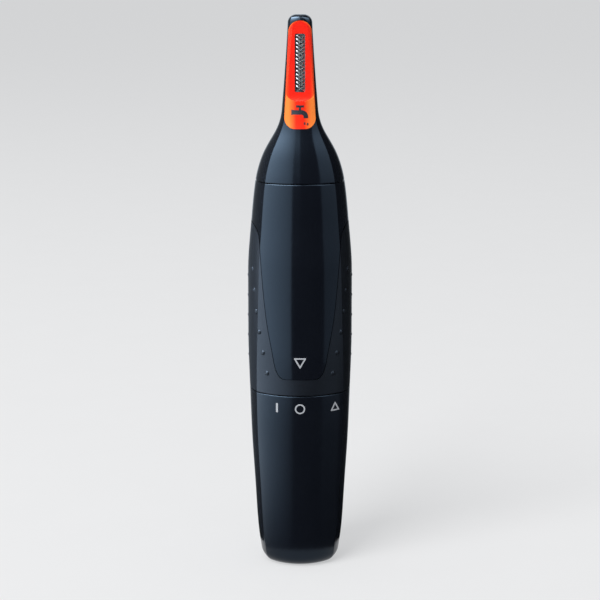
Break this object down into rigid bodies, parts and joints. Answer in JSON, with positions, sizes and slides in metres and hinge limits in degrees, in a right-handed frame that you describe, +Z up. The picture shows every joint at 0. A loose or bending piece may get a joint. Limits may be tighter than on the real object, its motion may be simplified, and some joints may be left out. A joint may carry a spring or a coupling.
{
  "type": "nose hair trimmer",
  "caption": "Slim battery-powered nose hair trimmer with a narrow tip, slotted guard over a reciprocating blade, soft grip sides and a twist-off battery cap that is also the switch.",
  "frame": {"origin": "centre of the flat base of the battery cap, under the middle of the bounding box", "axes": "+Z up the trimmer from the cap to the cutting tip, -Y out of the front face with the cutting slot, +X to the right seen from the front"},
  "size_m": [0.0262, 0.0245, 0.138],
  "materials": {
    "housing": "glossy black",
    "head": "glossy black",
    "cap": "glossy black",
    "grip": "satin black soft grip",
    "guard": "glossy orange",
    "blade_steel": "ground stainless steel",
    "inner_plastic": "natural acetal",
    "chassis": "dark moulding",
    "seal": "black seal rubber",
    "spring_steel": "spring wire",
    "motor_steel": "plated steel",
    "core_steel": "stacked core plates",
    "shaft_steel": "ground steel",
    "bearing": "sintered bronze",
    "copper": "enamelled copper",
    "contact": "nickel-plated spring metal",
    "magnet": "ferrite",
    "end_cap": "white moulding",
    "cam": "natural acetal",
    "cell_can": "nickel-plated can",
    "cell_jacket": "printed film, left plain",
    "cell_washer": "insulating washer"
  },
  "bodies": {
    "cap": {"battery_cap": "cap", "negative_strip": "contact", "negative_spring": "spring_steel"},
    "switch_ring": {"switch_ring": "inner_plastic", "switch_wiper": "contact"},
    "handle": {"handle_shell": "housing", "grip_sleeve": "grip", "head_shell": "head", "head_seal_ring": "seal", "cutter_guard": "guard", "fixed_comb": "blade_steel", "rod_guide": "inner_plastic", "spring_plate": "inner_plastic", "return_spring": "spring_steel", "motor_can": "motor_steel", "motor_front_bushing": "bearing", "motor_end_cap": "end_cap", "motor_rear_bushing": "bearing", "motor_terminals": "contact", "motor_magnets": "magnet", "motor_brushes": "contact", "shaft_seal": "seal", "chassis": "chassis", "spigot_seal_ring": "seal", "motor_retainer": "inner_plastic", "motor_screws": "shaft_steel", "positive_contact": "contact", "negative_rail": "contact", "battery_can": "cell_can", "battery_jacket": "cell_jacket", "battery_positive_cap": "cell_can", "battery_insulator": "cell_washer"},
    "rotor": {"motor_shaft": "shaft_steel", "commutator": "copper", "armature_core": "core_steel", "armature_windings": "copper", "drive_cam": "cam"},
    "cutter": {"drive_rod": "inner_plastic", "moving_blade": "blade_steel"}
  },
  "joints": [
    {"name": "cap_pull", "type": "slide", "parent": "cap", "child": "switch_ring", "axis": [0, 0, 1], "range_m": [0, 0.06]},
    {"name": "cap_twist", "type": "hinge", "parent": "switch_ring", "child": "handle", "pos_m": [0, 0, 0.044], "axis": [0, 0, -1], "range_deg": [-45, 28]},
    {"name": "motor_spin", "type": "hinge", "parent": "handle", "child": "rotor", "pos_m": [0, 0, 0.075], "axis": [0, 0, 1], "continuous": true},
    {"name": "blade_slide", "type": "slide", "parent": "handle", "child": "cutter", "axis": [0, 0, 1], "range_m": [-0.001, 0], "deforming": ["return_spring"]}
  ]
}
